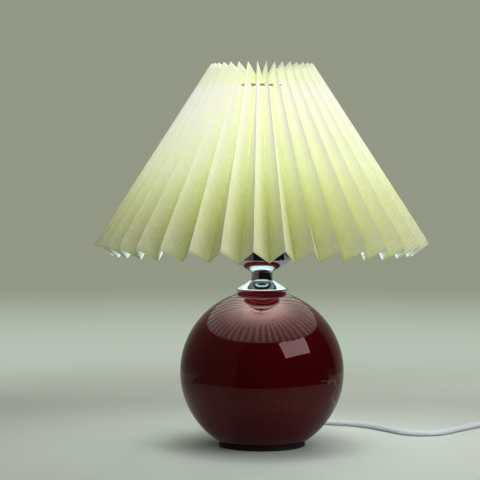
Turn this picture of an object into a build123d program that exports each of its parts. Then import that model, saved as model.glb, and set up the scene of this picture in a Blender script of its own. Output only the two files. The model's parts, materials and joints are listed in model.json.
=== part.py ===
from build123d import *

import os
from math import asin, atan2, cos, degrees, hypot, pi, radians, sin, sqrt, tan

os.makedirs("parts", exist_ok=True)

# Driving sizes of the lamp, in millimetres
ball_radius = 74.0
foot_radius = 39.0
foot_height = 4.0
foot_edge_round = 0.6
shade_bottom_radius = 150.0
shade_top_radius = 45.5
shade_bottom_height = 182.5
shade_top_height = 344.0
cord_diameter = 5.2

# Clearances used by every fit
thread_gap = 0.05
air_gap = 0.3

# Ball
ball_wall = 6.0
ball_centre = foot_height + sqrt(ball_radius**2 - foot_radius**2)
cavity_radius = ball_radius - ball_wall
access_hole_radius = 24.0

# Stem and the chrome pieces clamped on it
stem_radius = 5.0
stem_bore_radius = 3.7
stem_hole_radius = stem_radius + thread_gap
nut_across_flats = 14.0
nut_height = 5.0
stem_tail = 4.0
washer_radius = 14.0
washer_thickness = 2.0
chrome_wall = 1.2
cap_rim_radius = 23.5
cap_lip_radius = 22.3
cap_lip_bore = cap_lip_radius - chrome_wall
cap_lip_depth = 4.2
cap_rim_edge = 1.0
cap_slope_height = 7.3
cap_lip_height = ball_centre + sqrt(ball_radius**2 - cap_lip_bore**2) + thread_gap
cap_rim_height = cap_lip_height + cap_lip_depth
neck_radius = 10.1
neck_waist_radius = 9.2
neck_length = 7.9
neck_low = cap_rim_height + cap_slope_height
neck_high = neck_low + neck_length
cup_radius = 26.1
cup_foot_radius = 12.5
cup_bow_height = 11.1
cup_height = 43.0
cup_edge_height = neck_high + cup_bow_height
cup_rim_height = neck_high + cup_height
cup_floor = neck_high + chrome_wall

# Lampholder, stacked upwards from the nut in the cup
holder_low = cup_floor + nut_height
holder_height = 64.0
holder_radius = 20.5
holder_wall = 2.2
holder_floor = 4.0
holder_chamfer = 3.0
holder_chamber = 24.0
holder_ledge_height = holder_low + holder_chamber
holder_split_height = holder_ledge_height + holder_floor
core_thickness = 11.0
core_high = holder_ledge_height + core_thickness
shoulder_radius = 23.0
shoulder_thickness = 3.0
thread_length = 20.0
holder_high = holder_low + holder_height
shoulder_high = holder_high - thread_length
holder_thread_radius = 19.6
shell_bore_radius = 13.8
shell_wall = 0.6
shell_length = 25.0
stem_engagement = 2 * stem_radius
stem_high = holder_low + stem_engagement
terminal_reach = 9.0
terminal_radius = 1.2
terminal_head_radius = 2.2
terminal_head_height = 3.0

# Bulb, measured from the tip of its cap
bulb_length = 107.0
bulb_globe_radius = 30.0
bulb_globe_wall = 1.0
bulb_joint_radius = bulb_globe_radius * cos(radians(30))
contact_rise = 2.2
bulb_tip_height = core_high + contact_rise
bulb_globe_centre = bulb_tip_height + bulb_length - bulb_globe_radius
bulb_joint_height = bulb_globe_centre - sqrt(bulb_globe_radius**2 - bulb_joint_radius**2)
bulb_contact_thickness = 1.2
bulb_contact_radius = 4.5
cap_thread_pitch = 3.62
cap_thread_turns = 5
cap_thread_radius = 13.2
cap_root_radius = 12.4
cap_sheet = 0.6
bulb_insulator_height = 5.0
cap_low = bulb_tip_height + bulb_contact_thickness + bulb_insulator_height
cap_high = cap_low + cap_thread_pitch * cap_thread_turns

# Pleated shade, with pleats that are a little uneven round it
pleat_count = 36
pleat_face_width = 22.0
pleat_turn = radians(-94.6)
pleat_sway = radians(1.3)
pleat_sway_waves = 4
sheet_thickness = 0.6
slant = atan2(shade_bottom_radius - shade_top_radius, shade_top_height - shade_bottom_height)
half_pleat = pi / pleat_count

# Wire carrier of the shade
wire_radius = 1.2
leg_radius = 1.0
carrier_ring_radius = 42.0
carrier_ring_height = shade_top_height - 20.5
carrier_leg_count = 3
hub_thickness = 1.5
hub_bore_radius = holder_thread_radius + air_gap
hub_radius = 27.0
hub_low = shoulder_high + 2 * thread_gap
ring_nut_low = hub_low + hub_thickness + 2 * thread_gap
ring_nut_height = 7.0
ring_nut_radius = 25.0
ring_nut_chamfer = 1.2

# Cord bush, square to the ball near the foot at the back
cord_radius = cord_diameter / 2
bush_height = 27.0
bush_drop = asin((ball_centre - bush_height) / ball_radius)
bush_axis = Vector(0, cos(bush_drop), -sin(bush_drop))
bush_origin = Vector(0, ball_radius * cos(bush_drop), bush_height)
bush_sleeve_radius = 4.6
bush_flange_radius = 7.0
bush_flange_thickness = 2.0
bush_length = 22.0
bush_inside = ball_wall + 3.0
boot_tip_radius = 3.4
boot_root_radius = 5.2

# Cord on the table
table_cord_height = cord_radius + 0.1

# Switch in the cord
switch_length = 60.0
switch_width = 24.0
switch_low = 0.1
switch_high = 15.0
switch_split = 7.5
switch_wall = 1.8
switch_corner = 9.0
switch_foot_round = 1.2
switch_top_round = 3.0
switch_entry = Vector(264.0, 127.0, switch_split)
switch_centre_x = switch_entry.X + switch_length / 2
switch_centre_y = switch_entry.Y
rocker_length = 17.2
rocker_width = 10.4
rocker_pivot_height = 11.6
rocker_tilt = 8.0
rocker_rise = 5.2
rocker_dish = 1.6
rocker_taper = 0.6
rocker_shoulder = 1.5
rocker_keel = 4.0
contact_strip_length = 9.0
contact_strip_width = 5.0
contact_strip_thickness = 1.0
contact_strip_reach = 7.0
window_length = 19.6
pin_radius = 1.2
switch_screw_reach = 20.0
switch_screw_radius = 1.25
switch_screw_head_radius = 2.4
switch_screw_head_height = 1.4
switch_screw_end_gap = 0.5
screw_post_radius = 3.2

# Put-away coil, in two layers
coil_turns_per_layer = 3
coil_pitch = cord_diameter + 0.5
coil_inner_radius = 21.6
coil_outer_radius = coil_inner_radius + coil_turns_per_layer * coil_pitch
tie_thickness = 0.8
tie_width = 6.0
tie_gap = 0.5
tie_corner = 1.2
coil_low_layer = tie_thickness + air_gap + cord_radius
coil_high_layer = coil_low_layer + coil_pitch + thread_gap

# Plug
plug_length = 34.0
plug_width = 30.0
plug_tail_width = 14.0
plug_height = 13.6
plug_tail_height = 10.0
plug_corner = 5.0
plug_tail_corner = 4.0
plug_axis_height = plug_height / 2 + 0.1
plug_boot_length = 22.0
plug_pin_radius = 2.0
plug_pin_length = 19.0
plug_pin_depth = 6.0
plug_pin_sleeve_radius = 1.9
plug_pin_sleeve_length = 10.0
plug_pin_spacing = 18.6
plug_pin_tip_round = 1.2


def save(part, name):
    """Write one piece as a named solid."""
    part.label = name
    export_step(part, f"parts/{name}.step")


def profile(*points):
    """Flat face in the XZ plane from (radius, height) corners."""
    with BuildSketch(Plane.XZ) as outline:
        with BuildLine():
            Polyline(*points, close=True)
        make_face()
    return outline.sketch


def ring(outer_radius, inner_radius, low, high):
    """Plain ring about the lamp's axis."""
    return profile((inner_radius, low), (outer_radius, low), (outer_radius, high), (inner_radius, high))


def hex_nut(low):
    """Hexagon nut on the stem with its lower face at the given height."""
    with BuildPart() as nut:
        with BuildSketch(Plane.XY.offset(low)):
            RegularPolygon(nut_across_flats / 2, 6, major_radius=False)
            Circle(stem_hole_radius, mode=Mode.SUBTRACT)
        extrude(amount=nut_height)
    return nut.part


def bend_radii(points):
    """Bend at each inner point, from the shorter run beside it and the angle turned."""
    radii = []
    for before, here, after in zip(points, points[1:], points[2:]):
        run_in = Vector(here) - Vector(before)
        run_out = Vector(after) - Vector(here)
        half_turn = radians(run_in.get_angle(run_out)) / 2
        radii.append(0.45 * min(run_in.length, run_out.length) / tan(half_turn))
    return radii


def tube(points, radius, name):
    """Round cord along straight runs joined by tangent arcs; returns its solid and length."""
    radii = bend_radii(points)
    with BuildPart() as cord:
        with BuildLine() as route:
            FilletPolyline(*points, radius=radii)
        path = route.wire()
        with BuildSketch(Plane(path @ 0, z_dir=path % 0)):
            Circle(radius)
        sweep(path=path)
    section = pi * radius**2
    print(name, "bend radii", [round(bend, 1) for bend in radii], "length", round(path.length, 1),
          "volume over section times length", round(cord.part.volume / (section * path.length), 4))
    return cord.part, path.length


# Ceramic ball with a flat foot, a cavity, and holes for the stem, the hand and the cord
bush_plane = Plane(bush_origin, x_dir=(1, 0, 0), z_dir=bush_axis)
with BuildPart() as ceramic_body:
    with Locations((0, 0, ball_centre)):
        Sphere(ball_radius)
    split(bisect_by=Plane.XY.offset(foot_height))
    with BuildSketch(Plane.XZ):
        with Locations((0, ball_centre)):
            Circle(cavity_radius)
        with Locations((0, foot_height + ball_wall)):
            Rectangle(cavity_radius, 2 * ball_radius, align=(Align.MIN, Align.MIN), mode=Mode.INTERSECT)
    revolve(axis=Axis.Z, mode=Mode.SUBTRACT)
    with Locations((0, 0, foot_height)):
        Cylinder(access_hole_radius, 2 * ball_wall, mode=Mode.SUBTRACT)
    with Locations((0, 0, ball_centre + ball_radius)):
        Cylinder(stem_hole_radius + air_gap, 4 * ball_wall, mode=Mode.SUBTRACT)
    with Locations(bush_plane):
        Cylinder(bush_sleeve_radius + 2 * thread_gap, 4 * ball_wall, mode=Mode.SUBTRACT)
save(ceramic_body.part, "ceramic_body")

# Pad under the ball
with BuildPart() as foot_pad:
    with BuildSketch():
        Circle(foot_radius)
    extrude(amount=foot_height)
    fillet(foot_pad.faces().sort_by(Axis.Z)[0].edges(), foot_edge_round)
save(foot_pad.part, "foot_pad")

# Moulded bush: sleeve in the hole, flange on the ball, tapered boot outside
bush_section = Plane(bush_origin, x_dir=(1, 0, 0), z_dir=Vector(1, 0, 0).cross(bush_axis))
bush_seat = -((bush_sleeve_radius + thread_gap) ** 2) / (2 * ball_radius)
with BuildPart() as cord_bush:
    with BuildSketch(bush_section):
        with BuildLine():
            Polyline((0, -bush_inside), (bush_sleeve_radius, -bush_inside), (bush_sleeve_radius, bush_seat),
                     (bush_flange_radius, bush_seat), (bush_flange_radius, bush_flange_thickness),
                     (boot_root_radius, bush_flange_thickness), (boot_tip_radius, bush_length),
                     (0, bush_length), close=True)
        make_face()
    revolve(axis=Axis(bush_origin, bush_axis))
save(cord_bush.part, "cord_bush")

# Hollow stem with a washer and a nut inside the top of the ball
washer_high = ball_centre + sqrt(cavity_radius**2 - washer_radius**2) - thread_gap
stem_nut_low = washer_high - washer_thickness - nut_height
with BuildPart() as stem_nipple:
    revolve(ring(stem_radius, stem_bore_radius, stem_nut_low - stem_tail, stem_high), axis=Axis.Z)
save(stem_nipple.part, "stem_nipple")
with BuildPart() as stem_washer:
    revolve(ring(washer_radius, stem_hole_radius, washer_high - washer_thickness, washer_high), axis=Axis.Z)
save(stem_washer.part, "stem_washer")
save(hex_nut(stem_nut_low), "stem_nut")

# Spun cap that sits on the ball
with BuildPart() as vase_cap:
    revolve(profile((stem_hole_radius, neck_low), (neck_radius + chrome_wall / 2, neck_low),
                    (cap_rim_radius, cap_rim_height), (cap_rim_radius, cap_rim_height - cap_rim_edge),
                    (cap_lip_radius, cap_lip_height),
                    (cap_lip_bore, cap_lip_height),
                    (cap_rim_radius - chrome_wall * 4 / 3, cap_rim_height - chrome_wall),
                    (neck_radius, neck_low - chrome_wall), (stem_hole_radius, neck_low - chrome_wall)),
            axis=Axis.Z)
save(vase_cap.part, "vase_cap")

# Waisted neck between the cap and the cup
with BuildPart() as neck_spacer:
    with BuildSketch(Plane.XZ):
        with BuildLine():
            ThreePointArc((neck_radius, neck_low), (neck_waist_radius, (neck_low + neck_high) / 2),
                          (neck_radius, neck_high))
            Polyline((neck_radius, neck_high), (stem_hole_radius, neck_high), (stem_hole_radius, neck_low),
                     (neck_radius, neck_low))
        make_face()
    revolve(axis=Axis.Z)
save(neck_spacer.part, "neck_spacer")

# Cup with a bowed lower part and a straight wall
cup_bore = cup_radius - chrome_wall
cup_bow_middle = cup_bow_height * 0.42
cup_bow_radius = cup_foot_radius + (cup_radius - cup_foot_radius) * 0.573
with BuildPart() as socket_cup:
    with BuildSketch(Plane.XZ):
        with BuildLine():
            ThreePointArc((cup_foot_radius, neck_high), (cup_bow_radius, neck_high + cup_bow_middle),
                          (cup_radius, cup_edge_height))
            Polyline((cup_radius, cup_edge_height), (cup_radius, cup_rim_height), (cup_bore, cup_rim_height),
                     (cup_bore, cup_edge_height + chrome_wall / 2))
            ThreePointArc((cup_bore, cup_edge_height + chrome_wall / 2),
                          (cup_bow_radius - chrome_wall * 2 / 3, cup_floor + cup_bow_middle),
                          (cup_foot_radius, cup_floor))
            Polyline((cup_foot_radius, cup_floor), (stem_hole_radius, cup_floor), (stem_hole_radius, neck_high),
                     (cup_foot_radius, neck_high))
        make_face()
    revolve(axis=Axis.Z)
    fillet(socket_cup.edges().filter_by(GeomType.CIRCLE).group_by(Axis.Z)[-1], chrome_wall / 3)
save(socket_cup.part, "socket_cup")
save(hex_nut(cup_floor), "cup_nut")

# Lower half of the lampholder, screwed on the stem
holder_bore = holder_radius - holder_wall
with BuildPart() as holder_base:
    revolve(profile((stem_hole_radius, holder_low), (holder_radius - holder_chamfer, holder_low),
                    (holder_radius, holder_low + holder_chamfer), (holder_radius, holder_split_height),
                    (holder_bore, holder_split_height), (holder_bore, holder_ledge_height),
                    (holder_bore - holder_wall, holder_ledge_height),
                    (holder_bore - holder_wall, holder_low + holder_floor),
                    (2 * stem_radius, holder_low + holder_floor), (2 * stem_radius, stem_high),
                    (stem_hole_radius, stem_high)), axis=Axis.Z)
save(holder_base.part, "holder_base")

# Insulating core that carries the contacts
with BuildPart() as holder_core:
    revolve(ring(holder_bore - air_gap, 0, holder_ledge_height, core_high), axis=Axis.Z)
    with Locations((terminal_reach, 0, holder_ledge_height), (-terminal_reach, 0, holder_ledge_height)):
        Cylinder(terminal_radius + thread_gap, core_thickness, mode=Mode.SUBTRACT)
save(holder_core.part, "holder_core")

# Upper half of the lampholder with the shoulder that the carrier rests on
shell_radius = shell_bore_radius + shell_wall
with BuildPart() as holder_sleeve:
    revolve(profile((holder_bore, holder_split_height), (holder_radius, holder_split_height),
                    (holder_radius, shoulder_high - shoulder_thickness),
                    (shoulder_radius, shoulder_high - shoulder_thickness), (shoulder_radius, shoulder_high),
                    (holder_thread_radius, shoulder_high), (holder_thread_radius, holder_high),
                    (shell_radius + air_gap, holder_high), (shell_radius + air_gap, core_high),
                    (holder_bore, core_high)), axis=Axis.Z)
save(holder_sleeve.part, "holder_sleeve")

# Brass pieces of the lampholder
with BuildPart() as screw_shell:
    revolve(ring(shell_radius, shell_bore_radius, core_high, core_high + shell_length), axis=Axis.Z)
save(screw_shell.part, "screw_shell")
contact_gap = 0.2
contact_leaf_radius = 3.0
contact_leaf_thickness = 0.8
with BuildPart() as centre_contact:
    with BuildSketch(Plane.XY.offset(core_high)):
        SlotOverall(6 * contact_leaf_radius, 2 * contact_leaf_radius)
    extrude(amount=contact_leaf_thickness)
    with BuildSketch(Plane.XY.offset(core_high)):
        Circle(contact_leaf_radius)
    extrude(amount=contact_rise - contact_gap)
save(centre_contact.part, "centre_contact")
screw_low = holder_ledge_height - terminal_head_height
with BuildPart() as terminal_screws:
    for side in (-1, 1):
        with BuildSketch(Plane.XY.offset(screw_low)):
            with Locations((side * terminal_reach, 0)):
                Circle(terminal_head_radius)
        extrude(amount=terminal_head_height)
        with BuildSketch(Plane.XY.offset(holder_ledge_height)):
            with Locations((side * terminal_reach, 0)):
                Circle(terminal_radius)
        extrude(amount=core_thickness * 0.45)
save(terminal_screws.part, "terminal_screws")

# Ring nut that keeps the carrier down
with BuildPart() as holder_ring:
    revolve(ring(ring_nut_radius, holder_thread_radius + thread_gap, ring_nut_low,
                 ring_nut_low + ring_nut_height), axis=Axis.Z)
    chamfer(holder_ring.faces().sort_by(Axis.Z)[-1].edges().sort_by(SortBy.LENGTH)[-1], ring_nut_chamfer)
save(holder_ring.part, "holder_ring")

# Cord from the bush up through the stem, and its two leads
inner_start = bush_origin - bush_axis * bush_inside
inner_run = bush_axis * 39.0
inner_rise = 86.0
inner_points = [inner_start, inner_start - inner_run, Vector(0, 0, inner_rise), Vector(0, 0, stem_high)]
inner_cord, inner_length = tube(inner_points, cord_radius, "inner_cord")
save(inner_cord, "inner_cord")
lead_radius = 1.1
lead_start = cord_radius / 2
lead_end_run = 4 * lead_radius
lead_points = [(lead_start, 0, stem_high), (lead_start, 0, stem_high + lead_end_run),
               (terminal_reach, 0, screw_low - lead_end_run), (terminal_reach, 0, screw_low)]
right_lead, lead_length = tube(lead_points, lead_radius, "terminal_leads")
with BuildPart() as terminal_leads:
    add(right_lead)
    mirror(about=Plane.YZ)
save(terminal_leads.part, "terminal_leads")

# Bulb: contact, insulator, screw cap, housing, board and globe
contact_high = bulb_tip_height + bulb_contact_thickness
cap_bore_radius = cap_root_radius - cap_sheet
with BuildPart() as bulb_contact:
    revolve(profile((0, bulb_tip_height), (bulb_contact_radius - bulb_contact_thickness, bulb_tip_height),
                    (bulb_contact_radius, bulb_tip_height + bulb_contact_thickness * 2 / 3),
                    (bulb_contact_radius, contact_high), (0, contact_high)), axis=Axis.Z)
save(bulb_contact.part, "bulb_contact")
with BuildPart() as bulb_insulator:
    revolve(profile((0, contact_high), (bulb_contact_radius + air_gap, contact_high),
                    (cap_bore_radius - thread_gap, cap_low), (0, cap_low)), axis=Axis.Z)
save(bulb_insulator.part, "bulb_insulator")
with BuildPart() as bulb_screw_cap:
    with BuildSketch(Plane.XZ):
        with BuildLine():
            for turn in range(cap_thread_turns):
                ridge_low = cap_low + turn * cap_thread_pitch
                ThreePointArc((cap_root_radius, ridge_low),
                              (cap_thread_radius, ridge_low + cap_thread_pitch / 2),
                              (cap_root_radius, ridge_low + cap_thread_pitch))
            Polyline((cap_root_radius, cap_high), (cap_bore_radius, cap_high), (cap_bore_radius, cap_low),
                     (cap_root_radius, cap_low))
        make_face()
    revolve(axis=Axis.Z)
save(bulb_screw_cap.part, "bulb_screw_cap")
housing_foot_radius = cap_thread_radius + air_gap
housing_waist_radius = housing_foot_radius + (bulb_joint_radius - housing_foot_radius) * 0.38
with BuildPart() as bulb_housing:
    with BuildSketch(Plane.XZ):
        with BuildLine():
            ThreePointArc((housing_foot_radius, cap_high),
                          (housing_waist_radius, (cap_high + bulb_joint_height) / 2),
                          (bulb_joint_radius, bulb_joint_height))
            Polyline((bulb_joint_radius, bulb_joint_height), (0, bulb_joint_height), (0, cap_low),
                     (cap_bore_radius - thread_gap, cap_low), (cap_bore_radius - thread_gap, cap_high),
                     (housing_foot_radius, cap_high))
        make_face()
    revolve(axis=Axis.Z)
save(bulb_housing.part, "bulb_housing")
board_thickness = 1.2
board_radius = bulb_joint_radius * 0.85
with BuildPart() as led_board:
    revolve(ring(board_radius, 0, bulb_joint_height, bulb_joint_height + board_thickness), axis=Axis.Z)
save(led_board.part, "led_board")
with BuildPart() as bulb_globe:
    with Locations((0, 0, bulb_globe_centre)):
        Sphere(bulb_globe_radius)
        Sphere(bulb_globe_radius - bulb_globe_wall, mode=Mode.SUBTRACT)
    split(bisect_by=Plane.XY.offset(bulb_joint_height))
save(bulb_globe.part, "bulb_globe")


def fold_depth(outer_fold_radius):
    """Depth of a pleat square to the slant, so that its faces keep the strip's width."""
    opening = 1 - cos(half_pleat)
    middle = outer_fold_radius * cos(slant) * opening
    return middle + sqrt(middle**2 + pleat_face_width**2 - 2 * outer_fold_radius**2 * opening)


def polar(radius, angle):
    """Point in the level plane."""
    return Vector(radius * cos(angle), radius * sin(angle))


def fold_angle(fold):
    """Bearing of a fold line; the even ones are outer folds."""
    even = pleat_turn + fold * half_pleat
    return even + pleat_sway * cos(pleat_sway_waves * even)


def outward_normal(first, second):
    """Unit vector square to a face of the strip, away from the lamp's axis."""
    run = (second - first).normalized()
    return Vector(run.Y, -run.X)


def strip_corners(outer_fold_radius, inner_fold_radius, outside):
    """Corners of the folded strip's outer or inner skin where a level plane cuts it."""
    folds = 2 * pleat_count
    radii = (outer_fold_radius, inner_fold_radius)
    points = [polar(radii[fold % 2], fold_angle(fold)) for fold in range(folds)]
    offset = sheet_thickness / 2 if outside else -sheet_thickness / 2
    corners = []
    for fold, point in enumerate(points):
        before = outward_normal(points[fold - 1], point)
        after = outward_normal(point, points[(fold + 1) % folds])
        outer_fold = fold % 2 == 0
        if outer_fold == outside:
            corners.append(point + before * offset)
            corners.append(point + after * offset)
        else:
            corners.append(point + (before + after) * (offset / (1 + before.dot(after))))
    return corners


# Pleated shade: one strip folded to and fro, its edges square to the slant, slotted at the inner folds
inward = Vector(-cos(slant), -sin(slant))
top_crest = Vector(shade_top_radius, shade_top_height)
bottom_crest = Vector(shade_bottom_radius, shade_bottom_height)
top_valley = top_crest + inward * fold_depth(shade_top_radius)
bottom_valley = bottom_crest + inward * fold_depth(shade_bottom_radius)


def fold_radius(top_point, bottom_point, height):
    """Radius of a straight fold line at a height."""
    along = (top_point.Y - height) / (top_point.Y - bottom_point.Y)
    return top_point.X + along * (bottom_point.X - top_point.X)


cut_margin = 2.0
level_cuts = (bottom_valley.Y - cut_margin, shade_top_height + cut_margin)
band_outside = inward * -cut_margin
band_inside = inward * (pleat_face_width + 4 * cut_margin)
slot_clearance = 1.8
slot_reach = carrier_ring_radius + wire_radius + slot_clearance
slot_half_height = wire_radius + air_gap
with BuildPart() as pleated_shade:
    for outside, mode in ((True, Mode.ADD), (False, Mode.SUBTRACT)):
        for height in level_cuts:
            crest_radius = fold_radius(top_crest, bottom_crest, height)
            valley_radius = fold_radius(top_valley, bottom_valley, height)
            with BuildSketch(Plane.XY.offset(height)):
                with BuildLine():
                    Polyline(*strip_corners(crest_radius, valley_radius, outside), close=True)
                make_face()
        loft(ruled=True, mode=mode)
    revolve(profile(top_crest + band_outside, bottom_crest + band_outside, bottom_crest + band_inside,
                    top_crest + band_inside), axis=Axis.Z, mode=Mode.INTERSECT)
    revolve(ring(slot_reach, wire_radius, carrier_ring_height - slot_half_height,
                 carrier_ring_height + slot_half_height), axis=Axis.Z, mode=Mode.SUBTRACT)
print("pleated_shade solids", len(pleated_shade.part.solids()))
save(pleated_shade.part, "pleated_shade")

# Carrier: hub on the lampholder, three bent legs inside the pleats, ring in the slots
leg_weld = 1.5
leg_start = hub_radius - leg_weld
leg_height = hub_low + hub_thickness / 2
leg_bend = 12.0
folds_between_legs = 2 * pleat_count // carrier_leg_count
with BuildPart() as shade_carrier:
    revolve(ring(hub_radius, hub_bore_radius, hub_low, hub_low + hub_thickness), axis=Axis.Z)
    with Locations((0, 0, carrier_ring_height)):
        Torus(carrier_ring_radius, wire_radius)
    for leg in range(carrier_leg_count):
        bearing = degrees(fold_angle(leg * folds_between_legs))
        leg_plane = Plane.XZ.rotated((0, 0, bearing))
        with BuildLine(leg_plane) as leg_line:
            FilletPolyline((leg_start, leg_height), (carrier_ring_radius, leg_height),
                           (carrier_ring_radius, carrier_ring_height), radius=leg_bend)
        leg_path = leg_line.wire()
        with BuildSketch(Plane(leg_path @ 0, z_dir=leg_path % 0)):
            Circle(leg_radius)
        sweep(path=leg_path)
print("shade_carrier solids", len(shade_carrier.part.solids()))
save(shade_carrier.part, "shade_carrier")

# Cord from the bush, over the table, to the switch
boot_tip = bush_origin + bush_axis * bush_length
low = table_cord_height
boot_run = bush_axis * 20.0
switch_run = Vector(24, 0, 0)
lead_route = [boot_tip, boot_tip + boot_run, Vector(12, 117.5, low), Vector(40, 128, low),
              Vector(93.5, 114, low), Vector(117.5, 81.5, low), Vector(137, 50, low), Vector(166, 50, low),
              Vector(192, 84.5, low), Vector(214, 110, low), switch_entry - switch_run, switch_entry]
cord_lead, cord_lead_length = tube(lead_route, cord_radius, "cord_lead")
save(cord_lead, "cord_lead")

# Switch shells with posts for the two screws
switch_plane = Plane((switch_centre_x, switch_centre_y, 0))
screw_places = [(-switch_screw_reach, 0), (switch_screw_reach, 0)]


def switch_sketch(height, inset):
    """Rounded outline of the switch on a level plane, drawn in by an inset."""
    with BuildSketch(switch_plane.offset(height)) as outline:
        RectangleRounded(switch_length - 2 * inset, switch_width - 2 * inset, switch_corner - inset)
    return outline.sketch


with BuildPart() as switch_lower:
    extrude(switch_sketch(switch_low, 0), amount=switch_split - switch_low)
    fillet(switch_lower.faces().sort_by(Axis.Z)[0].edges(), switch_foot_round)
    extrude(switch_sketch(switch_low + switch_wall, switch_wall), amount=switch_split, mode=Mode.SUBTRACT)
    with BuildSketch(switch_plane.offset(switch_low + switch_wall)):
        with Locations(*screw_places):
            Circle(screw_post_radius)
    extrude(amount=switch_split - switch_low - switch_wall)
    with BuildSketch(switch_plane.offset(switch_low)):
        with Locations(*screw_places):
            Circle(switch_screw_radius + 2 * thread_gap)
    extrude(amount=switch_split, mode=Mode.SUBTRACT)
    with BuildSketch(switch_plane.offset(switch_low)):
        with Locations(*screw_places):
            Circle(switch_screw_head_radius + air_gap)
    extrude(amount=switch_screw_head_height + air_gap, mode=Mode.SUBTRACT)
save(switch_lower.part, "switch_lower")

screw_hole_depth = 5.0
with BuildPart() as switch_upper:
    extrude(switch_sketch(switch_split, 0), amount=switch_high - switch_split)
    fillet(switch_upper.faces().sort_by(Axis.Z)[-1].edges(), switch_top_round)
    extrude(switch_sketch(switch_split, switch_wall), amount=switch_high - switch_split - switch_wall,
            mode=Mode.SUBTRACT)
    with BuildSketch(switch_plane.offset(switch_split)):
        with Locations(*screw_places):
            Circle(screw_post_radius)
    extrude(amount=switch_high - switch_split - switch_wall)
    with BuildSketch(switch_plane.offset(switch_split)):
        with Locations(*screw_places):
            Circle(switch_screw_radius + thread_gap)
    extrude(amount=screw_hole_depth, mode=Mode.SUBTRACT)
    with BuildSketch(switch_plane.offset(switch_split)):
        Rectangle(window_length, rocker_width + 2 * air_gap)
    extrude(amount=switch_high, mode=Mode.SUBTRACT)
save(switch_upper.part, "switch_upper")

head_high = switch_low + switch_screw_head_height + air_gap
with BuildPart() as switch_screws:
    for place in screw_places:
        with BuildSketch(switch_plane.offset(head_high - switch_screw_head_height)):
            with Locations(place):
                Circle(switch_screw_head_radius)
        extrude(amount=switch_screw_head_height)
        with BuildSketch(switch_plane.offset(head_high)):
            with Locations(place):
                Circle(switch_screw_radius)
        extrude(amount=switch_split - head_high + screw_hole_depth - switch_screw_end_gap)
save(switch_screws.part, "switch_screws")

# Rocker on its pin, stored pressed down at the far end
rocker_pivot = Vector(switch_centre_x, switch_centre_y, rocker_pivot_height)
rocker_section = Plane(rocker_pivot, x_dir=(1, 0, 0), z_dir=(0, -1, 0)).rotated((0, rocker_tilt, 0))
with BuildPart() as switch_rocker:
    half_length = rocker_length / 2
    with BuildSketch(rocker_section):
        with BuildLine():
            ThreePointArc((-half_length, rocker_rise), (0, rocker_rise - rocker_dish),
                          (half_length, rocker_rise))
            Polyline((half_length, rocker_rise), (half_length - rocker_taper, -rocker_shoulder),
                     (0, -rocker_keel), (rocker_taper - half_length, -rocker_shoulder),
                     (-half_length, rocker_rise))
        make_face()
        Circle(pin_radius + thread_gap, mode=Mode.SUBTRACT)
    extrude(amount=rocker_width / 2, both=True)
save(switch_rocker.part, "switch_rocker")
pin_length = switch_width - 2 * switch_wall
with BuildPart() as switch_pin:
    with BuildSketch(Plane(rocker_pivot, x_dir=(1, 0, 0), z_dir=(0, -1, 0))):
        Circle(pin_radius)
    extrude(amount=pin_length / 2, both=True)
save(switch_pin.part, "switch_pin")
with BuildPart() as switch_contacts:
    with BuildSketch(switch_plane.offset(switch_low + switch_wall)):
        with Locations((-contact_strip_reach, 0), (contact_strip_reach, 0)):
            Rectangle(contact_strip_length, contact_strip_width)
    extrude(amount=contact_strip_thickness)
save(switch_contacts.part, "switch_contacts")

# Cord from the switch to the coil
switch_exit = switch_entry + Vector(switch_length, 0, 0)
link_first = switch_exit + Vector(20, 0, 0)
link_second = link_first + Vector(20.8, -12, -2.5)
link_third = Vector(link_second.X + 12, link_second.Y - 20.8, coil_low_layer)
coil_entry = link_third - Vector(0, 22, 0)
cord_link, cord_link_length = tube([switch_exit, link_first, link_second, link_third, coil_entry], cord_radius,
                                   "cord_link")
save(cord_link, "cord_link")


def coil_wire():
    """Route of the coil: half turns that step inwards, one that climbs, half turns that step outwards."""
    half_turns = 2 * coil_turns_per_layer
    here = coil_entry - Vector(0, cord_diameter, 0)
    with BuildLine() as route:
        Line(coil_entry, here)
        for step in range(2 * half_turns):
            turns_in = step if step <= half_turns else 2 * half_turns - step
            radius = coil_outer_radius - turns_in * coil_pitch / 2
            side = -1 if step % 2 == 0 else 1
            height = coil_low_layer if step < half_turns else coil_high_layer
            there = Vector(here.X + side * 2 * radius, here.Y, height)
            bulge = (there - here).length / 2
            middle = (here + there) / 2 + Vector(0, side * bulge, 0)
            ThreePointArc(here, middle, there)
            here = there
        Line(here, here - Vector(0, cord_diameter, 0))
    return route.wire()


def least_gap(wire, samples):
    """Smallest clear distance between parts of the tube that aren't neighbours along it."""
    spots = [wire @ (index / samples) for index in range(samples + 1)]
    apart = int(samples * 4 * cord_diameter / wire.length) + 1
    closest = wire.length
    for first, spot in enumerate(spots):
        for other in spots[first + apart:]:
            closest = min(closest, hypot(spot.X - other.X, spot.Y - other.Y, spot.Z - other.Z))
    return closest - cord_diameter


coil_path = coil_wire()
with BuildPart() as cord_coil:
    with BuildSketch(Plane(coil_path @ 0, z_dir=coil_path % 0)):
        Circle(cord_radius)
    sweep(path=coil_path)
print("cord_coil length", round(coil_path.length, 1), "least gap to itself", round(least_gap(coil_path, 900), 2),
      "volume over section times length",
      round(cord_coil.part.volume / (pi * cord_radius**2 * coil_path.length), 4))
save(cord_coil.part, "cord_coil")

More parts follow.
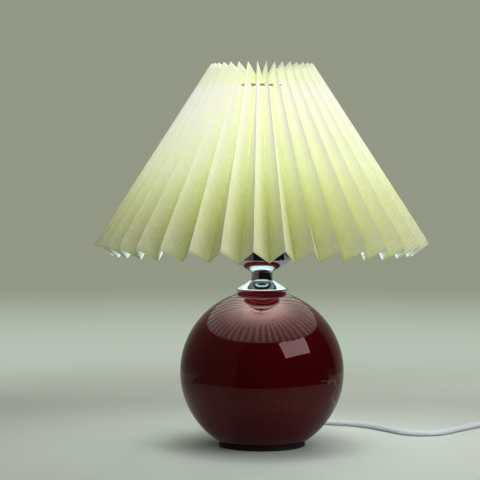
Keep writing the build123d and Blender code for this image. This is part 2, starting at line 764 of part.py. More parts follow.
# Band round the turns at the coil's left side
coil_centre_x = coil_entry.X - coil_outer_radius
coil_centre_y = coil_entry.Y - cord_diameter
tie_left = coil_centre_x - coil_outer_radius - cord_radius - tie_gap
tie_right = coil_centre_x - coil_inner_radius + cord_radius + tie_gap
tie_high = coil_high_layer + cord_radius + air_gap
with BuildPart() as cord_tie:
    with BuildSketch(Plane.XZ.offset(-coil_centre_y)):
        with Locations(((tie_left + tie_right) / 2, (tie_thickness + tie_high) / 2)):
            RectangleRounded(tie_right - tie_left + 2 * tie_thickness, tie_high + tie_thickness,
                             tie_corner + tie_thickness)
            RectangleRounded(tie_right - tie_left, tie_high - tie_thickness, tie_corner, mode=Mode.SUBTRACT)
    extrude(amount=tie_width / 2, both=True)
save(cord_tie.part, "cord_tie")

# Cord from the coil to the plug
coil_exit = coil_path @ 1
plug_entry = Vector(coil_exit.X, coil_exit.Y - 52, plug_axis_height)
tail_route = [coil_exit, coil_exit - Vector(0, 16, 0), plug_entry + Vector(0, 16, 0), plug_entry]
plug_tail, plug_tail_length = tube(tail_route, cord_radius, "plug_tail")
save(plug_tail, "plug_tail")

# Plug: boot, flattened body and two pins with thinner sleeved roots
body_back = plug_entry.Y - plug_boot_length
pin_face = body_back - plug_length
pin_places = [(-plug_pin_spacing / 2, 0), (plug_pin_spacing / 2, 0)]
plug_back = Plane((plug_entry.X, body_back, plug_axis_height), x_dir=(1, 0, 0), z_dir=(0, -1, 0))
with BuildPart() as plug_body:
    with BuildSketch(plug_back):
        RectangleRounded(plug_tail_width, plug_tail_height, plug_tail_corner)
    with BuildSketch(plug_back.offset(plug_length)):
        RectangleRounded(plug_width, plug_height, plug_corner)
    loft()
    with BuildSketch(plug_back):
        Circle(plug_tail_height / 2 - 0.2)
    with BuildSketch(plug_back.offset(-plug_boot_length)):
        Circle(boot_tip_radius)
    loft()
    with BuildSketch(plug_back.offset(plug_length)):
        with Locations(*pin_places):
            Circle(plug_pin_sleeve_radius + thread_gap)
    extrude(amount=-plug_pin_depth, mode=Mode.SUBTRACT)
save(plug_body.part, "plug_body")
with BuildPart() as plug_pins:
    with BuildSketch(plug_back.offset(plug_length - plug_pin_depth)):
        with Locations(*pin_places):
            Circle(plug_pin_sleeve_radius)
    extrude(amount=plug_pin_depth + plug_pin_sleeve_length)
    with BuildSketch(plug_back.offset(plug_length + plug_pin_sleeve_length)):
        with Locations(*pin_places):
            Circle(plug_pin_radius)
    extrude(amount=plug_pin_length - plug_pin_sleeve_length)
    fillet(plug_pins.faces().group_by(Axis.Y)[0].edges(), plug_pin_tip_round)
save(plug_pins.part, "plug_pins")

cord_total = cord_lead_length + switch_length + cord_link_length + coil_path.length + plug_tail_length
print("cord from the bush to the plug", round(cord_total, 1))
print("least height of the free cord", round(min(piece.bounding_box().min.Z
                                                 for piece in (cord_lead, cord_link, plug_tail)), 2))
print("pin centre", plug_entry.X, pin_face, plug_axis_height, "rocker pivot", rocker_pivot)
print("levels: bulb tip", bulb_tip_height, "shoulder", shoulder_high, "rim of the holder", holder_high,
      "cup", neck_high, cup_rim_height, "neck", neck_low, "cap rim", cap_rim_height)
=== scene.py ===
import json
import math
import random

import bmesh
import bpy
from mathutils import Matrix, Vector


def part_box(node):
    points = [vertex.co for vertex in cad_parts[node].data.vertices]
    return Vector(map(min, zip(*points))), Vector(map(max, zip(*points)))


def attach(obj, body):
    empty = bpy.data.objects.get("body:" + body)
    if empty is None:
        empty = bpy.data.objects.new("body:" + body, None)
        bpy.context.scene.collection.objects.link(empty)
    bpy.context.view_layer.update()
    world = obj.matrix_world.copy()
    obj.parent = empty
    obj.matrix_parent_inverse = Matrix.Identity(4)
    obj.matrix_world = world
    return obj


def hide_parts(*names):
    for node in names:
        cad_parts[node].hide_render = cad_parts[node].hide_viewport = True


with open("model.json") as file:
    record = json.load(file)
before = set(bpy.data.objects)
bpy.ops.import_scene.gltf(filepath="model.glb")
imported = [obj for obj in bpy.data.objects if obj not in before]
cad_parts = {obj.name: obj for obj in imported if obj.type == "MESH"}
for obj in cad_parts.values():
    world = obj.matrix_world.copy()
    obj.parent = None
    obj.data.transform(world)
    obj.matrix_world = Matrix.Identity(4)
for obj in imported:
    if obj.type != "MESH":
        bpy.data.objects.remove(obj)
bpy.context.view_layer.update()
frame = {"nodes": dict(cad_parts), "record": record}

MM = 0.001

# Sizes that the part's source has too, in millimetres; a pair is a radius and a height
FOOT_RADIUS = 39.0
FOOT_HEIGHT = 4.0
BALL_RADIUS = 74.0
BALL_WALL = 6.0
BALL_CENTRE = FOOT_HEIGHT + math.sqrt(BALL_RADIUS**2 - FOOT_RADIUS**2)
ACCESS_HOLE = 24.0
AIR_GAP = 0.3
STEM_HOLE = 5.05
BALL_TOP_HOLE = STEM_HOLE + AIR_GAP
CHROME_WALL = 1.2
CAP_RIM_RADIUS = 23.5
CAP_RIM_EDGE = 1.0
CAP_LIP_RADIUS = 22.3
CAP_LIP_DEPTH = 4.2
NECK_RADIUS = 10.1
CUP_RADIUS = 26.1
CUP_FOOT_RADIUS = 12.5
CUP_BOW_HEIGHT = 11.1
PLEAT_COUNT = 36
PLEAT_FACE_WIDTH = 22.0
PLEAT_TURN = math.radians(-94.6)
PLEAT_SWAY = math.radians(1.3)
PLEAT_SWAY_WAVES = 4
SHADE_TOP = (45.5, 344.0)
SHADE_BOTTOM = (150.0, 182.5)
CORD_DIAMETER = 5.2

# Sizes of the visible finish, in millimetres; the rim's pairs are steps out from the bore and up
FOOT_EDGE = 0.5
BALL_HOLE_EDGE = 1.0
CAP_EDGE = 0.5
NECK_WAIST_RADIUS = 9.6
NECK_FLARE = 0.4
CUP_BELLY = (20.8, 4.6)
CUP_BELLY_INSIDE = (19.9, 4.5)
CUP_FLOOR_RADIUS = 12.3
CUP_RIM_ROUND = [(1.2, -0.5), (1.0, -0.1), (0.6, 0.0), (0.2, -0.1), (0.0, -0.5)]
SHEET_THICKNESS = 0.55
SLOT_LOW = 322.25
SLOT_HIGH = 324.75
SLOT_SHARE = 0.54
TOP_TWIST = math.radians(-2.6)
FOLD_TURN_PLAY = math.radians(0.32)
FOLD_HEIGHT_PLAY = 0.5
FOLD_PLAY_AT_TOP = 0.15
FACE_BOW_LEAST = -0.5
FACE_BOW_MOST = 0.7
FACE_BOW_AT_TOP = 0.25

# Measures of the shade that follow from those
FACE_COUNT = 2 * PLEAT_COUNT
HALF_PLEAT = math.pi / PLEAT_COUNT
SHADE_LENGTH = math.hypot(SHADE_BOTTOM[0] - SHADE_TOP[0], SHADE_TOP[1] - SHADE_BOTTOM[1])
SLANT = math.atan2(SHADE_BOTTOM[0] - SHADE_TOP[0], SHADE_TOP[1] - SHADE_BOTTOM[1])

# Heights between which a colour or a painted light changes, in metres
GLAZE_HEIGHTS = (0.0, 0.14)
CLOTH_GLOW_HEIGHTS = (0.19, 0.34)
LINING_GLOW_HEIGHTS = (0.18, 0.34)
BULB_GLOW_HEIGHTS = (0.262, 0.285)

# Steps of the weave's noise in a metre, across a thread and along it
WEAVE_ACROSS = 800
WEAVE_ALONG = 100


# Node helpers


def new_material(name):
    """A node material and its main shader."""
    made = bpy.data.materials.new(name)
    made.use_nodes = True
    return made, made.node_tree, made.node_tree.nodes["Principled BSDF"]


def add_node(tree, kind, **values):
    """A shader node with its properties or input sockets set by name."""
    made = tree.nodes.new("ShaderNode" + kind)
    for name, value in values.items():
        if hasattr(made, name):
            setattr(made, name, value)
        else:
            made.inputs[name.replace("_", " ")].default_value = value
    return made


def split_place(tree, space="Object"):
    """A place vector of the object or the world, and a node with its three parts."""
    place = add_node(tree, "TexCoord")
    split = add_node(tree, "SeparateXYZ")
    tree.links.new(place.outputs[space], split.inputs["Vector"])
    return place.outputs[space], split


def stretched(tree, vector, scale):
    """A place vector scaled along each axis."""
    made = add_node(tree, "Mapping")
    made.inputs["Scale"].default_value = scale
    tree.links.new(vector, made.inputs["Vector"])
    return made.outputs["Vector"]


def length_of(tree, vector):
    """Length of a vector."""
    made = add_node(tree, "VectorMath", operation="LENGTH")
    tree.links.new(vector, made.inputs[0])
    return made.outputs["Value"]


def math_node(tree, operation, first, second):
    """Result of an operation on two sockets, or on a socket and a number."""
    made = add_node(tree, "Math", operation=operation)
    tree.links.new(first, made.inputs[0])
    if isinstance(second, float):
        made.inputs[1].default_value = second
    else:
        tree.links.new(second, made.inputs[1])
    return made.outputs[0]


def multiplied(tree, first, second):
    """Product of two colours."""
    made = add_node(tree, "Mix", data_type="RGBA", blend_type="MULTIPLY")
    made.inputs["Factor"].default_value = 1.0
    tree.links.new(first, made.inputs[6])
    tree.links.new(second, made.inputs[7])
    return made.outputs[2]


def mixed_shader(tree, share, first, second):
    """Two shaders mixed by a share, a socket or a number."""
    made = add_node(tree, "MixShader")
    if isinstance(share, float):
        made.inputs["Fac"].default_value = share
    else:
        tree.links.new(share, made.inputs["Fac"])
    tree.links.new(first, made.inputs[1])
    tree.links.new(second, made.inputs[2])
    return made.outputs["Shader"]


def between(tree, factor, low, high, way="LINEAR"):
    """0 to 1 while a factor goes from low to high."""
    made = add_node(tree, "MapRange", interpolation_type=way)
    made.inputs["From Min"].default_value = low
    made.inputs["From Max"].default_value = high
    tree.links.new(factor, made.inputs["Value"])
    return made.outputs["Result"]


def height_factor(tree, low, high):
    """0 to 1 over a span of heights, in metres."""
    split = split_place(tree)[1]
    return between(tree, split.outputs["Z"], low, high)


def spread(tree, factor, low, high):
    """Maps a 0 to 1 factor to a range."""
    made = add_node(tree, "MapRange")
    made.inputs["To Min"].default_value = low
    made.inputs["To Max"].default_value = high
    tree.links.new(factor, made.inputs["Value"])
    return made.outputs["Result"]


def ramp(tree, factor, stops):
    """Colour ramp over a factor, from (place, colour) stops."""
    made = add_node(tree, "ValToRGB")
    bar = made.color_ramp.elements
    while len(bar) < len(stops):
        bar.new(0.5)
    for mark, (place, colour) in zip(bar, stops):
        mark.position = place
        mark.color = (*colour, 1)
    tree.links.new(factor, made.inputs["Fac"])
    return made.outputs["Color"]


def object_noise(tree, scale, detail=2.0, stretch=(1, 1, 1)):
    """Noise in the object's own space; gives the factor socket."""
    place = add_node(tree, "TexCoord")
    noise = add_node(tree, "TexNoise", Scale=scale, Detail=detail)
    tree.links.new(stretched(tree, place.outputs["Object"], stretch), noise.inputs["Vector"])
    return noise.outputs["Fac"]


def bump(tree, shader, height, strength, distance):
    """Bump on a shader from a height socket."""
    made = add_node(tree, "Bump", Strength=strength, Distance=distance)
    tree.links.new(height, made.inputs["Height"])
    tree.links.new(made.outputs["Normal"], shader.inputs["Normal"])


def mottled(name, dark, light, scale, roughness, metallic=0.0, bump_strength=0.05):
    """Surface with two close tones, uneven gloss and a fine relief."""
    made, tree, shader = new_material(name)
    tone = object_noise(tree, scale, 4.0)
    tree.links.new(ramp(tree, tone, [(0.35, dark), (0.65, light)]), shader.inputs["Base Color"])
    gloss = spread(tree, object_noise(tree, scale * 2.3, 3.0), roughness - 0.05, roughness + 0.05)
    tree.links.new(gloss, shader.inputs["Roughness"])
    bump(tree, shader, object_noise(tree, scale * 6), bump_strength, 0.0002)
    shader.inputs["Metallic"].default_value = metallic
    return made


# Materials of the stand


def glaze_material():
    """Deep red glaze, a shade redder towards the foot, redder still on the shoulder where painted light
    stands in for the bulb's light, faintly uneven.
    """
    made, tree, shader = new_material("oxblood_glaze")
    # Redder towards the foot; on the shoulder the extra red is painted light from the bulb above
    height_tone_and_painted_light = ramp(tree, height_factor(tree, *GLAZE_HEIGHTS), [
        (0.0, (0.052, 0.0007, 0.0016)), (0.5, (0.038, 0.0009, 0.0020)), (0.76, (0.037, 0.0010, 0.0022)),
        (0.88, (0.060, 0.0014, 0.0030)), (1.0, (0.075, 0.0020, 0.0045))])
    cloud = ramp(tree, object_noise(tree, 22, 5.0), [(0.3, (0.86, 0.80, 0.80)), (0.7, (1.0, 1.0, 1.0))])
    tree.links.new(multiplied(tree, height_tone_and_painted_light, cloud), shader.inputs["Base Color"])
    tree.links.new(spread(tree, object_noise(tree, 60, 3.0), 0.01, 0.035), shader.inputs["Roughness"])
    bump(tree, shader, object_noise(tree, 42, 1.0), 0.02, 0.0006)
    shader.inputs["IOR"].default_value = 1.6
    shader.inputs["Specular Tint"].default_value = (1.0, 0.60, 0.61, 1)
    return made


def chrome_material():
    """Bright, slightly cool plating with faint polishing marks round the axis."""
    made, tree, shader = new_material("polished_chrome")
    marks = object_noise(tree, 40, 3.0, (0.3, 0.3, 6.0))
    plating = ramp(tree, marks, [(0.3, (0.69, 0.78, 0.80)), (0.7, (0.79, 0.87, 0.89))])
    tree.links.new(plating, shader.inputs["Base Color"])
    tree.links.new(spread(tree, marks, 0.03, 0.07), shader.inputs["Roughness"])
    shader.inputs["Metallic"].default_value = 1.0
    return made


# Materials of the shade and the bulb


def weave_factor(tree):
    """Uneven threads both ways over the folded strip, from its own flat coordinates in metres."""
    strip = add_node(tree, "UVMap", uv_map="strip")
    threads = []
    for stretch in ((WEAVE_ACROSS, WEAVE_ALONG, 1), (WEAVE_ALONG, WEAVE_ACROSS, 1)):
        noise = add_node(tree, "TexNoise", Scale=1.0, Detail=3.0, Roughness=0.6)
        tree.links.new(stretched(tree, strip.outputs["UV"], stretch), noise.inputs["Vector"])
        threads.append(noise.outputs["Fac"])
    both = math_node(tree, "ADD", threads[0], threads[1])
    return math_node(tree, "MULTIPLY", both, 0.5)


def fold_factor(tree):
    """0 on the outer folds of the strip and 1 on the inner ones."""
    strip = add_node(tree, "UVMap", uv_map="strip")
    split = add_node(tree, "SeparateXYZ")
    tree.links.new(strip.outputs["UV"], split.inputs["Vector"])
    faces = math_node(tree, "DIVIDE", split.outputs["X"], PLEAT_FACE_WIDTH * MM)
    return math_node(tree, "PINGPONG", faces, 1.0)


def let_light_through(tree, shader, colour, share):
    """Mixes a share of light from behind, in a colour, into a cloth's shader."""
    through = add_node(tree, "BsdfTranslucent")
    tree.links.new(colour, through.inputs["Color"])
    mix = mixed_shader(tree, share, shader.outputs["BSDF"], through.outputs["BSDF"])
    tree.links.new(mix, tree.nodes["Material Output"].inputs["Surface"])


def shade_material():
    """Cream cloth lit from behind by painted glow, palest level with the bulb, olive deep in the inner folds
    with painted shade.
    """
    made, tree, shader = new_material("pleated_cloth")
    weave = weave_factor(tree)
    fold = fold_factor(tree)
    threads = ramp(tree, weave, [(0.36, (0.84, 0.84, 0.79)), (0.62, (1.0, 1.0, 1.0))])
    # Cloth colour, darker and olive deep in the inner folds: painted shade
    cloth = ramp(tree, fold, [
        (0.0, (0.62, 0.63, 0.43)), (0.03, (0.77, 0.79, 0.54)), (0.5, (0.74, 0.755, 0.435)),
        (1.0, (0.635, 0.66, 0.28))])
    tree.links.new(multiplied(tree, cloth, threads), shader.inputs["Base Color"])
    shader.inputs["Roughness"].default_value = 0.85
    shader.inputs["Specular IOR Level"].default_value = 0.15
    bump(tree, shader, weave, 0.35, 0.0004)
    # Painted glow from the bulb by height, with a dimmer, greener band above the ring's height: painted shade
    glow = ramp(tree, height_factor(tree, *CLOTH_GLOW_HEIGHTS), [
        (0.0, (0.0, 0.0, 0.0)), (0.12, (0.072, 0.074, 0.018)), (0.28, (0.17, 0.19, 0.10)),
        (0.42, (0.27, 0.28, 0.225)), (0.62, (0.31, 0.305, 0.33)), (0.88, (0.345, 0.32, 0.42)),
        (0.92, (0.295, 0.31, 0.29)), (1.0, (0.31, 0.325, 0.31))])
    # Painted glow dimmer and more olive deep in the inner folds: painted shade
    folded = ramp(tree, fold, [
        (0.0, (1.0, 1.0, 1.0)), (0.6, (0.97, 0.98, 0.95)), (1.0, (0.76, 0.80, 0.64))])
    tree.links.new(multiplied(tree, glow, folded), shader.inputs["Emission Color"])
    shader.inputs["Emission Strength"].default_value = 1.0
    behind = ramp(tree, weave, [(0.36, (0.80, 0.81, 0.58)), (0.62, (0.90, 0.90, 0.72))])
    let_light_through(tree, shader, behind, 0.04)
    return made


def lining_material():
    """White film on the inside of the shade, with painted shade deep in the outer folds and painted glow,
    brightest near the bulb and along the folds next to it.
    """
    made, tree, shader = new_material("shade_lining")
    weave = weave_factor(tree)
    fold = fold_factor(tree)
    # Film darker deep in the outer folds: painted shade
    film = ramp(tree, fold, [
        (0.0, (0.46, 0.49, 0.48)), (0.4, (0.80, 0.83, 0.83)), (1.0, (0.92, 0.94, 0.95))])
    threads = ramp(tree, weave, [(0.35, (0.94, 0.94, 0.93)), (0.65, (1.0, 1.0, 1.0))])
    tree.links.new(multiplied(tree, film, threads), shader.inputs["Base Color"])
    shader.inputs["Roughness"].default_value = 0.5
    # Painted glow: brightest on the inner folds and by the bulb, dimmer at the top rim
    painted_fold_light = ramp(tree, fold, [
        (0.0, (0.13, 0.135, 0.135)), (0.6, (0.31, 0.325, 0.325)), (0.8, (0.43, 0.45, 0.45)),
        (0.94, (1.0, 1.0, 1.0))])
    painted_bulb_light = ramp(tree, height_factor(tree, *LINING_GLOW_HEIGHTS), [
        (0.0, (0.12, 0.145, 0.145)), (0.25, (0.22, 0.255, 0.255)), (0.5, (0.55, 0.62, 0.61)),
        (0.75, (0.92, 1.0, 0.97)), (0.9, (0.60, 0.64, 0.60)), (1.0, (0.16, 0.17, 0.15))])
    tree.links.new(multiplied(tree, painted_fold_light, painted_bulb_light), shader.inputs["Emission Color"])
    shader.inputs["Emission Strength"].default_value = 4.5
    behind = ramp(tree, weave, [(0.35, (0.88, 0.90, 0.82)), (0.65, (0.92, 0.94, 0.88))])
    let_light_through(tree, shader, behind, 0.12)
    return made


def opal_material():
    """Frosted bulb that is switched on, a little dimmer towards its lower rim."""
    made, tree, shader = new_material("lit_opal")
    lit = ramp(tree, height_factor(tree, *BULB_GLOW_HEIGHTS), [
        (0.0, (0.9, 0.88, 0.76)), (1.0, (1.0, 0.99, 0.93))])
    tree.links.new(lit, shader.inputs["Emission Color"])
    shader.inputs["Emission Strength"].default_value = 10.0
    shader.inputs["Base Color"].default_value = (0.9, 0.9, 0.88, 1)
    shader.inputs["Roughness"].default_value = 0.5
    return made


# Material of every node

GLAZE = glaze_material()
CHROME = chrome_material()
CLOTH = shade_material()
LINING = lining_material()
OPAL = opal_material()
PAD = mottled("foot_rubber", (0.003, 0.003, 0.003), (0.007, 0.006, 0.007), 160, 0.75, bump_strength=0.2)
STEEL = mottled("plated_steel", (0.50, 0.50, 0.52), (0.62, 0.62, 0.63), 240, 0.28, metallic=1.0)
NICKEL = mottled("nickel_cap", (0.66, 0.65, 0.62), (0.78, 0.77, 0.74), 260, 0.22, metallic=1.0)
BRASS = mottled("stamped_brass", (0.62, 0.43, 0.17), (0.78, 0.58, 0.27), 260, 0.3, metallic=1.0)
BLACK = mottled("holder_moulding", (0.012, 0.012, 0.013), (0.022, 0.022, 0.024), 320, 0.38,
                bump_strength=0.15)
CORD = mottled("cord_sheath", (0.58, 0.62, 0.67), (0.62, 0.66, 0.71), 180, 0.36, bump_strength=0.08)
WHITE = mottled("switch_moulding", (0.70, 0.70, 0.73), (0.73, 0.73, 0.755), 240, 0.3, bump_strength=0.1)
# Dark olive wire: painted shade, for the backlit ring seen through the slots
WIRE = mottled("olive_wire_painted_shade", (0.15, 0.19, 0.05), (0.22, 0.27, 0.08), 300, 0.45, bump_strength=0.15)
BULB = mottled("bulb_moulding", (0.76, 0.76, 0.74), (0.84, 0.84, 0.82), 200, 0.3)

SLOT_LOOKS = {
    "glaze": GLAZE, "pad_black": PAD, "chrome": CHROME, "steel": STEEL, "holder_black": BLACK,
    "brass": BRASS, "shade_cloth": CLOTH, "wire_olive": WIRE, "cord_pale": CORD, "switch_white": WHITE,
    "bulb_opal": OPAL, "bulb_white": BULB, "insulator_black": BLACK, "board_white": BULB,
}
NODE_LOOKS = {"bulb_screw_cap": NICKEL}
for entry in frame["record"]["subparts"]:
    piece = frame["nodes"][entry["node"]]
    look = NODE_LOOKS.get(entry["node"], SLOT_LOOKS[entry["material_slot"]])
    for place in piece.material_slots:
        place.material = look


# Turned pieces of the stand


def bent(start, handle, end, share):
    """Point on a quadratic curve from start to end, drawn towards a handle."""
    return start * (1 - share) ** 2 + handle * 2 * share * (1 - share) + end * share**2


def rounded(corners, radius, steps=4):
    """Closed (radius, height) outline with each corner rounded where its sides allow."""
    outline = []
    count = len(corners)
    for index in range(count):
        before = Vector(corners[index - 1])
        here = Vector(corners[index])
        after = Vector(corners[(index + 1) % count])
        back = before - here
        on = after - here
        reach = min(radius, 0.45 * back.length, 0.45 * on.length)
        start = here + back.normalized() * reach
        end = here + on.normalized() * reach
        for step in range(steps + 1):
            outline.append(bent(start, here, end, step / steps).to_tuple())
    return outline


def finish_mesh(name, work, materials, sharp_degrees=35):
    """Turns a bmesh into a smooth-shaded object in the scene."""
    bmesh.ops.recalc_face_normals(work, faces=work.faces)
    mesh = bpy.data.meshes.new(name)
    work.to_mesh(mesh)
    work.free()
    for face in mesh.polygons:
        face.use_smooth = True
    mesh.set_sharp_from_angle(angle=math.radians(sharp_degrees))
    for look in materials:
        mesh.materials.append(look)
    made = bpy.data.objects.new(name, mesh)
    bpy.context.collection.objects.link(made)
    return made


def turned(name, outline, look, segments=128):
    """Solid turned about the lamp's axis from a closed (radius, height) outline in millimetres."""
    work = bmesh.new()
    rings = []
    for step in range(segments):
        angle = 2 * math.pi * step / segments
        rings.append([work.verts.new((r * MM * math.cos(angle), r * MM * math.sin(angle), z * MM))
                      for r, z in outline])
    for step in range(segments):
        first = rings[step]
        second = rings[(step + 1) % segments]
        for index in range(len(outline)):
            after = (index + 1) % len(outline)
            work.faces.new((first[index], second[index], second[after], first[after]))
    return finish_mesh(name, work, [look])


def ball_arc(radius, start, end, steps):
    """Points round the ball's centre from one angle to another."""
    points = []
    for step in range(steps + 1):
        angle = start + (end - start) * step / steps
        points.append((radius * math.cos(angle), BALL_CENTRE + radius * math.sin(angle)))
    return points


def ball_outline():
    """Outline of the ball's wall: eased foot edge, round outside, top hole, cavity, access hole."""
    low_angle = math.asin((FOOT_HEIGHT + FOOT_EDGE - BALL_CENTRE) / BALL_RADIUS)
    high_angle = math.acos((BALL_TOP_HOLE + BALL_HOLE_EDGE) / BALL_RADIUS)
    outside = ball_arc(BALL_RADIUS, low_angle, high_angle, steps=96)
    top = outside[-1][1]
    ease = 0.3 * BALL_HOLE_EDGE
    hole = [(BALL_TOP_HOLE + ease, top - ease), (BALL_TOP_HOLE, top - BALL_HOLE_EDGE)]
    inner = BALL_RADIUS - BALL_WALL
    floor = FOOT_HEIGHT + BALL_WALL
    inner_high = math.acos(BALL_TOP_HOLE / inner)
    inner_low = math.asin((floor - BALL_CENTRE) / inner)
    inside = ball_arc(inner, inner_high, inner_low, steps=32)
    ease = 0.2 * FOOT_EDGE
    foot = [(ACCESS_HOLE, floor), (ACCESS_HOLE, FOOT_HEIGHT), (FOOT_RADIUS - FOOT_EDGE - ease, FOOT_HEIGHT),
            (FOOT_RADIUS - ease, FOOT_HEIGHT + ease)]
    return outside + hole + inside + foot


def heights(name):
    """A node's lowest and highest points in millimetres."""
    low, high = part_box(name)
    return low[2] / MM, high[2] / MM


def cap_outline():
    """Chrome cap: sloping top, thin rim and a lip that sits on the ball."""
    low, high = heights("vase_cap")
    rim = low + CAP_LIP_DEPTH
    under = high - CHROME_WALL
    outside = [(STEM_HOLE, high), (NECK_RADIUS + CHROME_WALL / 2, high), (CAP_RIM_RADIUS, rim),
               (CAP_RIM_RADIUS, rim - CAP_RIM_EDGE), (CAP_LIP_RADIUS, low)]
    inside = [(CAP_LIP_RADIUS - CHROME_WALL, low), (CAP_RIM_RADIUS - CHROME_WALL * 4 / 3, rim - CHROME_WALL),
              (NECK_RADIUS, under), (STEM_HOLE, under)]
    return rounded(outside + inside, CAP_EDGE)


def neck_outline(steps=16):
    """Chrome neck, drawn in at its waist."""
    low, high = heights("neck_spacer")
    sides = []
    for step in range(steps + 1):
        share = step / steps
        radius = NECK_WAIST_RADIUS + NECK_FLARE * (2 * share - 1) ** 2
        sides.append((radius, low + (high - low) * share))
    return sides + [(STEM_HOLE, high), (STEM_HOLE, low)]


def cup_curve(start, middle, end, steps=16):
    """Points of a quadratic curve through three points."""
    first = Vector(start)
    last = Vector(end)
    handle = Vector(middle) * 2 - (first + last) / 2
    return [bent(first, handle, last, step / steps).to_tuple() for step in range(steps + 1)]


def cup_outline():
    """Chrome cup: bowed underside, straight side with a rolled rim, and the same inside."""
    low, high = heights("socket_cup")
    edge = low + CUP_BOW_HEIGHT
    floor = low + CHROME_WALL
    bore = CUP_RADIUS - CHROME_WALL
    outside = cup_curve((CUP_FOOT_RADIUS, low), (CUP_BELLY[0], low + CUP_BELLY[1]), (CUP_RADIUS, edge))
    rim = [(bore + out, high + up) for out, up in CUP_RIM_ROUND]
    inside = cup_curve((bore, edge + CHROME_WALL / 2),
                       (CUP_BELLY_INSIDE[0], floor + CUP_BELLY_INSIDE[1]), (CUP_FLOOR_RADIUS, floor))
    return outside + rim + inside + [(STEM_HOLE, floor), (STEM_HOLE, low)]


ball = turned("glazed_ball", ball_outline(), GLAZE, segments=160)
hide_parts("ceramic_body")
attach(ball, "stand")

cap = turned("chrome_cap", cap_outline(), CHROME)
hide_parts("vase_cap")
neck = turned("chrome_neck", neck_outline(), CHROME)
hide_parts("neck_spacer")
cup = turned("chrome_cup", cup_outline(), CHROME)
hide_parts("socket_cup")
for piece in (cap, neck, cup):
    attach(piece, "stand")


# Pleated shade, with columns of points close together at the folds of each face

SHADE_ROWS = 30
FACE_COLUMNS = [0.0, 0.025, 0.08, 0.2, 0.37, SLOT_SHARE, 0.72, 0.86, 0.95, 0.985]
SHADE_SHARP_DEGREES = 24


def fold_depth(outer_radius):
    """Depth of a pleat square to the slant, so that its faces keep their width."""
    opening = 1 - math.cos(HALF_PLEAT)
    middle = outer_radius * math.cos(SLANT) * opening
    return middle + math.sqrt(middle**2 + PLEAT_FACE_WIDTH**2 - 2 * outer_radius**2 * opening)


def fold_ends(index, turn_play, height_play):
    """Top and bottom points of one fold line; even ones are crests and odd ones valleys."""
    even = PLEAT_TURN + index * HALF_PLEAT
    angle = even + PLEAT_SWAY * math.cos(PLEAT_SWAY_WAVES * even)
    inward = Vector((-math.cos(SLANT), -math.sin(SLANT)))
    ends = []
    rims = ((SHADE_TOP, FOLD_PLAY_AT_TOP, TOP_TWIST), (SHADE_BOTTOM, 1.0, 0.0))
    for (radius, height), share, twist in rims:
        place = Vector((radius, height))
        if index % 2:
            place += inward * fold_depth(radius)
        turn = angle + twist + turn_play * share
        up = place.y + height_play * share
        ends.append(Vector((place.x * math.cos(turn), place.x * math.sin(turn), up)))
    return ends


def face_point(start, end, share, down, bow):
    """Point on the face between two fold lines, bowed a little in its middle."""
    first = start[0].lerp(start[1], down)
    second = end[0].lerp(end[1], down)
    normal = (second - first).cross(start[1] - start[0]).normalized()
    swell = bow * (FACE_BOW_AT_TOP + (1 - FACE_BOW_AT_TOP) * down)
    return first.lerp(second, share) + normal * swell * math.sin(math.pi * share)


def strip_columns(work):
    """Columns of points down the strip, with how far along the flat strip each one is, in metres."""
    draw = random.Random(11)
    folds = []
    for index in range(FACE_COUNT):
        turn_play = draw.uniform(-FOLD_TURN_PLAY, FOLD_TURN_PLAY)
        height_play = draw.uniform(-FOLD_HEIGHT_PLAY, FOLD_HEIGHT_PLAY)
        folds.append(fold_ends(index, turn_play, height_play))
    bows = [draw.uniform(FACE_BOW_LEAST, FACE_BOW_MOST) for _ in range(FACE_COUNT)]
    from_crest = FACE_COLUMNS
    from_valley = [0.0] + [1 - share for share in reversed(FACE_COLUMNS[1:])]
    columns = []
    for face in range(FACE_COUNT):
        start = folds[face]
        end = folds[(face + 1) % FACE_COUNT]
        for share in from_valley if face % 2 else from_crest:
            column = []
            for row in range(SHADE_ROWS + 1):
                place = face_point(start, end, share, row / SHADE_ROWS, bows[face])
                column.append(work.verts.new(place * MM))
            columns.append((column, (face + share) * PLEAT_FACE_WIDTH * MM))
    return columns


def cut_slots(work, strip):
    """Cuts the row of slots for the carrier's ring into the inner folds."""
    for height in (SLOT_LOW, SLOT_HIGH):
        parts = work.verts[:] + work.edges[:] + work.faces[:]
        bmesh.ops.bisect_plane(work, geom=parts, plane_co=(0, 0, height * MM), plane_no=(0, 0, 1))
    gone = []
    for face in work.faces:
        middle = face.calc_center_median()
        along = sum(loop[strip].uv.x for loop in face.loops) / len(face.loops) / (PLEAT_FACE_WIDTH * MM)
        towards_valley = abs((along + 1) % 2 - 1)
        if SLOT_LOW < middle.z / MM < SLOT_HIGH and towards_valley > SLOT_SHARE:
            gone.append(face)
    bmesh.ops.delete(work, geom=gone, context="FACES")


def make_shade():
    """The folded strip as one slotted sheet, with uneven folds and faces that bow a little."""
    work = bmesh.new()
    strip = work.loops.layers.uv.new("strip")
    columns = strip_columns(work)
    count = len(columns)
    whole = FACE_COUNT * PLEAT_FACE_WIDTH * MM
    for index in range(count):
        left, left_u = columns[index]
        right, right_u = columns[(index + 1) % count]
        right_u = right_u if index + 1 < count else whole
        for row in range(SHADE_ROWS):
            face = work.faces.new((left[row], left[row + 1], right[row + 1], right[row]))
            upper = row / SHADE_ROWS
            lower = (row + 1) / SHADE_ROWS
            corners = ((left_u, upper), (left_u, lower), (right_u, lower), (right_u, upper))
            for loop, (u, v) in zip(face.loops, corners):
                loop[strip].uv = (u, v * SHADE_LENGTH * MM)
    cut_slots(work, strip)
    made = finish_mesh("pleated_cloth_shade", work, [CLOTH, LINING], SHADE_SHARP_DEGREES)
    thick = made.modifiers.new("sheet", "SOLIDIFY")
    thick.thickness = SHEET_THICKNESS * MM
    thick.offset = 0
    thick.material_offset = 1
    return made


shade = make_shade()
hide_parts("pleated_shade")
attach(shade, "shade")


# Cord, in millimetres, with LYING the height of its middle where it lies flat

